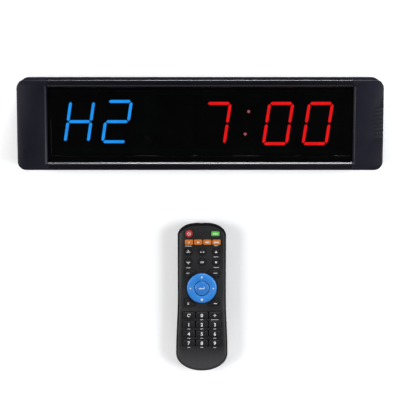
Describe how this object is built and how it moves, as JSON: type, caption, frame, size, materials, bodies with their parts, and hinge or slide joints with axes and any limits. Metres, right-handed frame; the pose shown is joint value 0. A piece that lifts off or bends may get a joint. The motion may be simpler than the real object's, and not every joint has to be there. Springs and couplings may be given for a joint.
{
  "type": "gym round timer",
  "caption": "Wall display with a wide smoked window over lit digits, sliding keyhole hangers, and an infrared handset with press keys, a four-way ring and a sliding battery door.",
  "frame": {"origin": "centre of the display's rear face, on the surface the display and the handset both lie on", "axes": "+X along the display, +Y up the display's face, +Z out of the display's face. The handset lies below the display, keys towards +Z."},
  "size_m": [0.32, 0.266, 0.034],
  "materials": {
    "case_metal": "satin dark navy anodising on an extrusion",
    "cap_plastic": "fine satin moulding, dark navy",
    "smoked_lens": "polished, smoked nearly black",
    "blue_digit": "black potted block with lit blue segments",
    "red_digit": "black potted block with lit red segments",
    "circuit_board": "green solder mask",
    "black_component": "satin black moulding",
    "screw_steel": "zinc plated",
    "hanger_steel": "pressed and zinc plated",
    "handset_plastic": "fine satin moulding, near black",
    "grey_key": "matt moulded silicone",
    "red_key": "matt moulded silicone",
    "green_key": "matt moulded silicone",
    "orange_key": "matt moulded silicone",
    "blue_key": "satin moulding",
    "pad_rubber": "matt silicone",
    "emitter_lens": "dark tinted clear resin",
    "cell_can": "plain sleeve over a can"
  },
  "bodies": {
    "display": {"case_extrusion": "case_metal", "left_end_cap": "cap_plastic", "right_end_cap": "cap_plastic", "front_lens": "smoked_lens", "left_lower_cap_screw": "screw_steel", "left_upper_cap_screw": "screw_steel", "right_lower_cap_screw": "screw_steel", "right_upper_cap_screw": "screw_steel", "round_tens_digit": "blue_digit", "round_units_digit": "blue_digit", "minute_tens_digit": "red_digit", "minute_units_digit": "red_digit", "second_tens_digit": "red_digit", "second_units_digit": "red_digit", "colon_lamps": "red_digit", "display_board": "circuit_board", "ir_receiver": "black_component", "buzzer": "black_component", "power_socket": "black_component"},
    "left_hanger_slider": {"left_hanger": "hanger_steel"},
    "right_hanger_slider": {"right_hanger": "hanger_steel"},
    "handset": {"handset_upper_shell": "handset_plastic", "handset_lower_shell": "handset_plastic", "keypad_sheet": "pad_rubber", "handset_circuit": "circuit_board", "ir_emitter": "emitter_lens", "left_battery": "cell_can", "right_battery": "cell_can"},
    "battery_door_slider": {"battery_door": "handset_plastic"},
    "ring_collar": {"ring_pivot_collar": "black_component"},
    "four_way_ring": {"four_way_ring": "blue_key"},
    "enter_key": {"enter_key": "blue_key"},
    "power_key": {"power_key": "red_key"},
    "mode_key": {"mode_key": "green_key"},
    "first_orange_key": {"first_orange_key": "orange_key"},
    "second_orange_key": {"second_orange_key": "orange_key"},
    "third_orange_key": {"third_orange_key": "orange_key"},
    "fourth_orange_key": {"fourth_orange_key": "orange_key"},
    "up_count_key": {"up_count_key": "grey_key"},
    "clock_key": {"clock_key": "grey_key"},
    "raise_key": {"raise_key": "grey_key"},
    "down_count_key": {"down_count_key": "grey_key"},
    "interval_key": {"interval_key": "grey_key"},
    "lower_key": {"lower_key": "grey_key"},
    "upper_left_wing_key": {"upper_left_wing_key": "grey_key"},
    "upper_right_wing_key": {"upper_right_wing_key": "grey_key"},
    "lower_left_wing_key": {"lower_left_wing_key": "grey_key"},
    "lower_right_wing_key": {"lower_right_wing_key": "grey_key"},
    "recall_key": {"recall_key": "grey_key"},
    "zero_key": {"zero_key": "grey_key"},
    "plus_key": {"plus_key": "grey_key"},
    "one_key": {"one_key": "grey_key"},
    "two_key": {"two_key": "grey_key"},
    "three_key": {"three_key": "grey_key"},
    "four_key": {"four_key": "grey_key"},
    "five_key": {"five_key": "grey_key"},
    "six_key": {"six_key": "grey_key"},
    "seven_key": {"seven_key": "grey_key"},
    "eight_key": {"eight_key": "grey_key"},
    "nine_key": {"nine_key": "grey_key"}
  },
  "joints": [
    {"name": "left_hanger_slide", "type": "slide", "parent": "display", "child": "left_hanger_slider", "axis": [1, 0, 0], "range_m": [-0.03, 0.06]},
    {"name": "right_hanger_slide", "type": "slide", "parent": "display", "child": "right_hanger_slider", "axis": [1, 0, 0], "range_m": [-0.06, 0.03]},
    {"name": "handset_lift", "type": "slide", "parent": "display", "child": "handset", "axis": [0, 0, 1], "range_m": [0, 0.1]},
    {"name": "battery_door_slide", "type": "slide", "parent": "handset", "child": "battery_door_slider", "axis": [0, -1, 0], "range_m": [0, 0.05]},
    {"name": "ring_rock_sideways", "type": "hinge", "parent": "handset", "child": "ring_collar", "pos_m": [0.0015, -0.148, 0.018], "axis": [0, 1, 0], "range_deg": [-2.5, 2.5], "stiffness_Nm_per_rad": 0.25},
    {"name": "ring_rock_lengthways", "type": "hinge", "parent": "ring_collar", "child": "four_way_ring", "pos_m": [0.0015, -0.148, 0.018], "axis": [1, 0, 0], "range_deg": [-2.5, 2.5], "stiffness_Nm_per_rad": 0.25},
    {"name": "enter_key_press", "type": "slide", "parent": "handset", "child": "enter_key", "axis": [0, 0, -1], "range_m": [0, 0.0008], "stiffness_N_per_m": 600},
    {"name": "power_key_press", "type": "slide", "parent": "handset", "child": "power_key", "axis": [0, 0, -1], "range_m": [0, 0.0008], "stiffness_N_per_m": 600},
    {"name": "mode_key_press", "type": "slide", "parent": "handset", "child": "mode_key", "axis": [0, 0, -1], "range_m": [0, 0.0008], "stiffness_N_per_m": 600},
    {"name": "first_orange_key_press", "type": "slide", "parent": "handset", "child": "first_orange_key", "axis": [0, 0, -1], "range_m": [0, 0.0008], "stiffness_N_per_m": 600},
    {"name": "second_orange_key_press", "type": "slide", "parent": "handset", "child": "second_orange_key", "axis": [0, 0, -1], "range_m": [0, 0.0008], "stiffness_N_per_m": 600},
    {"name": "third_orange_key_press", "type": "slide", "parent": "handset", "child": "third_orange_key", "axis": [0, 0, -1], "range_m": [0, 0.0008], "stiffness_N_per_m": 600},
    {"name": "fourth_orange_key_press", "type": "slide", "parent": "handset", "child": "fourth_orange_key", "axis": [0, 0, -1], "range_m": [0, 0.0008], "stiffness_N_per_m": 600},
    {"name": "up_count_key_press", "type": "slide", "parent": "handset", "child": "up_count_key", "axis": [0, 0, -1], "range_m": [0, 0.0008], "stiffness_N_per_m": 600},
    {"name": "clock_key_press", "type": "slide", "parent": "handset", "child": "clock_key", "axis": [0, 0, -1], "range_m": [0, 0.0008], "stiffness_N_per_m": 600},
    {"name": "raise_key_press", "type": "slide", "parent": "handset", "child": "raise_key", "axis": [0, 0, -1], "range_m": [0, 0.0008], "stiffness_N_per_m": 600},
    {"name": "down_count_key_press", "type": "slide", "parent": "handset", "child": "down_count_key", "axis": [0, 0, -1], "range_m": [0, 0.0008], "stiffness_N_per_m": 600},
    {"name": "interval_key_press", "type": "slide", "parent": "handset", "child": "interval_key", "axis": [0, 0, -1], "range_m": [0, 0.0008], "stiffness_N_per_m": 600},
    {"name": "lower_key_press", "type": "slide", "parent": "handset", "child": "lower_key", "axis": [0, 0, -1], "range_m": [0, 0.0008], "stiffness_N_per_m": 600},
    {"name": "upper_left_wing_key_press", "type": "slide", "parent": "handset", "child": "upper_left_wing_key", "axis": [0, 0, -1], "range_m": [0, 0.0008], "stiffness_N_per_m": 600},
    {"name": "upper_right_wing_key_press", "type": "slide", "parent": "handset", "child": "upper_right_wing_key", "axis": [0, 0, -1], "range_m": [0, 0.0008], "stiffness_N_per_m": 600},
    {"name": "lower_left_wing_key_press", "type": "slide", "parent": "handset", "child": "lower_left_wing_key", "axis": [0, 0, -1], "range_m": [0, 0.0008], "stiffness_N_per_m": 600},
    {"name": "lower_right_wing_key_press", "type": "slide", "parent": "handset", "child": "lower_right_wing_key", "axis": [0, 0, -1], "range_m": [0, 0.0008], "stiffness_N_per_m": 600},
    {"name": "recall_key_press", "type": "slide", "parent": "handset", "child": "recall_key", "axis": [0, 0, -1], "range_m": [0, 0.0008], "stiffness_N_per_m": 600},
    {"name": "zero_key_press", "type": "slide", "parent": "handset", "child": "zero_key", "axis": [0, 0, -1], "range_m": [0, 0.0008], "stiffness_N_per_m": 600},
    {"name": "plus_key_press", "type": "slide", "parent": "handset", "child": "plus_key", "axis": [0, 0, -1], "range_m": [0, 0.0008], "stiffness_N_per_m": 600},
    {"name": "one_key_press", "type": "slide", "parent": "handset", "child": "one_key", "axis": [0, 0, -1], "range_m": [0, 0.0008], "stiffness_N_per_m": 600},
    {"name": "two_key_press", "type": "slide", "parent": "handset", "child": "two_key", "axis": [0, 0, -1], "range_m": [0, 0.0008], "stiffness_N_per_m": 600},
    {"name": "three_key_press", "type": "slide", "parent": "handset", "child": "three_key", "axis": [0, 0, -1], "range_m": [0, 0.0008], "stiffness_N_per_m": 600},
    {"name": "four_key_press", "type": "slide", "parent": "handset", "child": "four_key", "axis": [0, 0, -1], "range_m": [0, 0.0008], "stiffness_N_per_m": 600},
    {"name": "five_key_press", "type": "slide", "parent": "handset", "child": "five_key", "axis": [0, 0, -1], "range_m": [0, 0.0008], "stiffness_N_per_m": 600},
    {"name": "six_key_press", "type": "slide", "parent": "handset", "child": "six_key", "axis": [0, 0, -1], "range_m": [0, 0.0008], "stiffness_N_per_m": 600},
    {"name": "seven_key_press", "type": "slide", "parent": "handset", "child": "seven_key", "axis": [0, 0, -1], "range_m": [0, 0.0008], "stiffness_N_per_m": 600},
    {"name": "eight_key_press", "type": "slide", "parent": "handset", "child": "eight_key", "axis": [0, 0, -1], "range_m": [0, 0.0008], "stiffness_N_per_m": 600},
    {"name": "nine_key_press", "type": "slide", "parent": "handset", "child": "nine_key", "axis": [0, 0, -1], "range_m": [0, 0.0008], "stiffness_N_per_m": 600}
  ]
}
